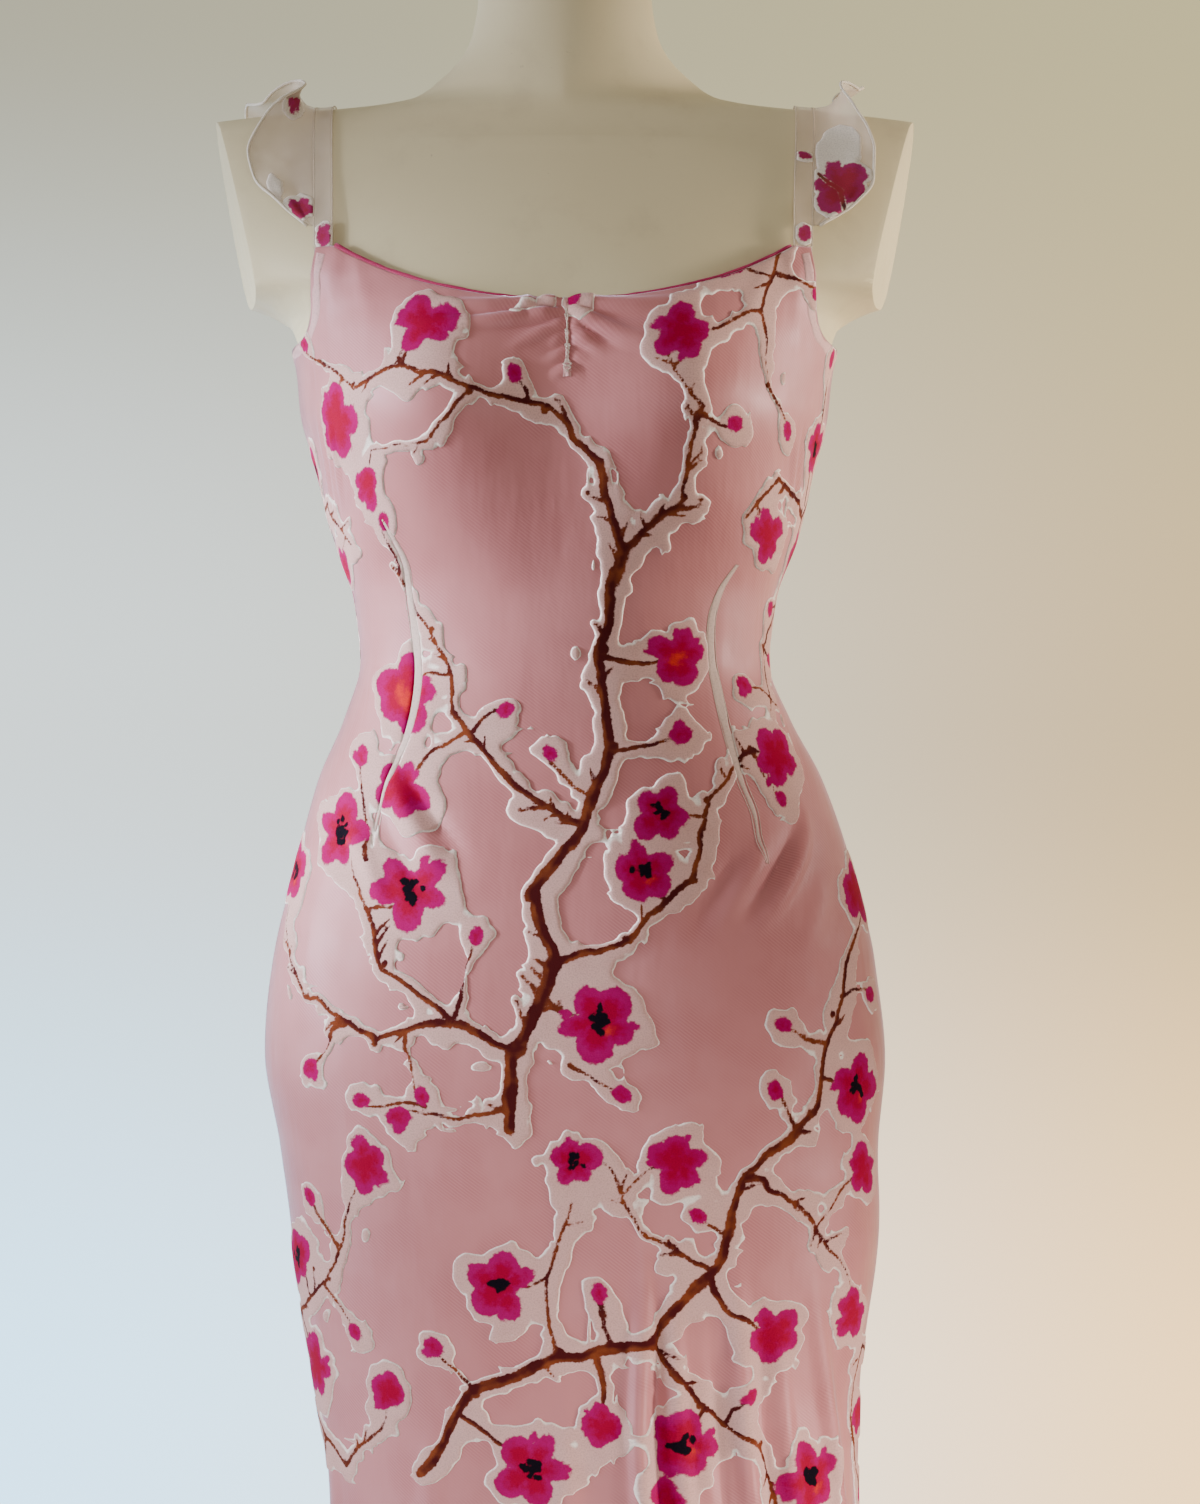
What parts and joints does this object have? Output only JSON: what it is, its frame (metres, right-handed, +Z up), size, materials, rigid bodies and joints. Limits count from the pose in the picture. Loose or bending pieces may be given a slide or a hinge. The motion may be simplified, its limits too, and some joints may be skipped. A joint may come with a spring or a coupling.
{
  "type": "slip dress on limbless dress form",
  "caption": "Fitted midi slip dress of burnt-out velvet with a low curved neckline, narrow straps and shoulder ruffles, on a limbless dress form with a round stand.",
  "frame": {"origin": "on the floor, under the middle of the stand's round base", "axes": "+Z up, front of the dress towards -Y, +X to the right as seen from the front"},
  "size_m": [0.4134, 0.34, 1.46],
  "materials": {
    "pink_devore": "sheer satin ground with velvet pile",
    "pink_lining": "soft satin",
    "sheer_devore": "sheer, matt",
    "magenta_binding": "matt",
    "form_shell": "matt, slightly worn",
    "stand_metal": "satin"
  },
  "bodies": {
    "root": {"front_panel": "pink_devore", "back_panel": "pink_devore", "front_lining": "pink_lining", "back_lining": "pink_lining", "front_neck_binding": "magenta_binding", "back_neck_binding": "magenta_binding", "strap_left": "sheer_devore", "strap_right": "sheer_devore", "ruffle_left": "sheer_devore", "ruffle_right": "sheer_devore", "form_torso": "form_shell", "stand_pole": "stand_metal", "stand_base": "stand_metal"}
  },
  "joints": []
}
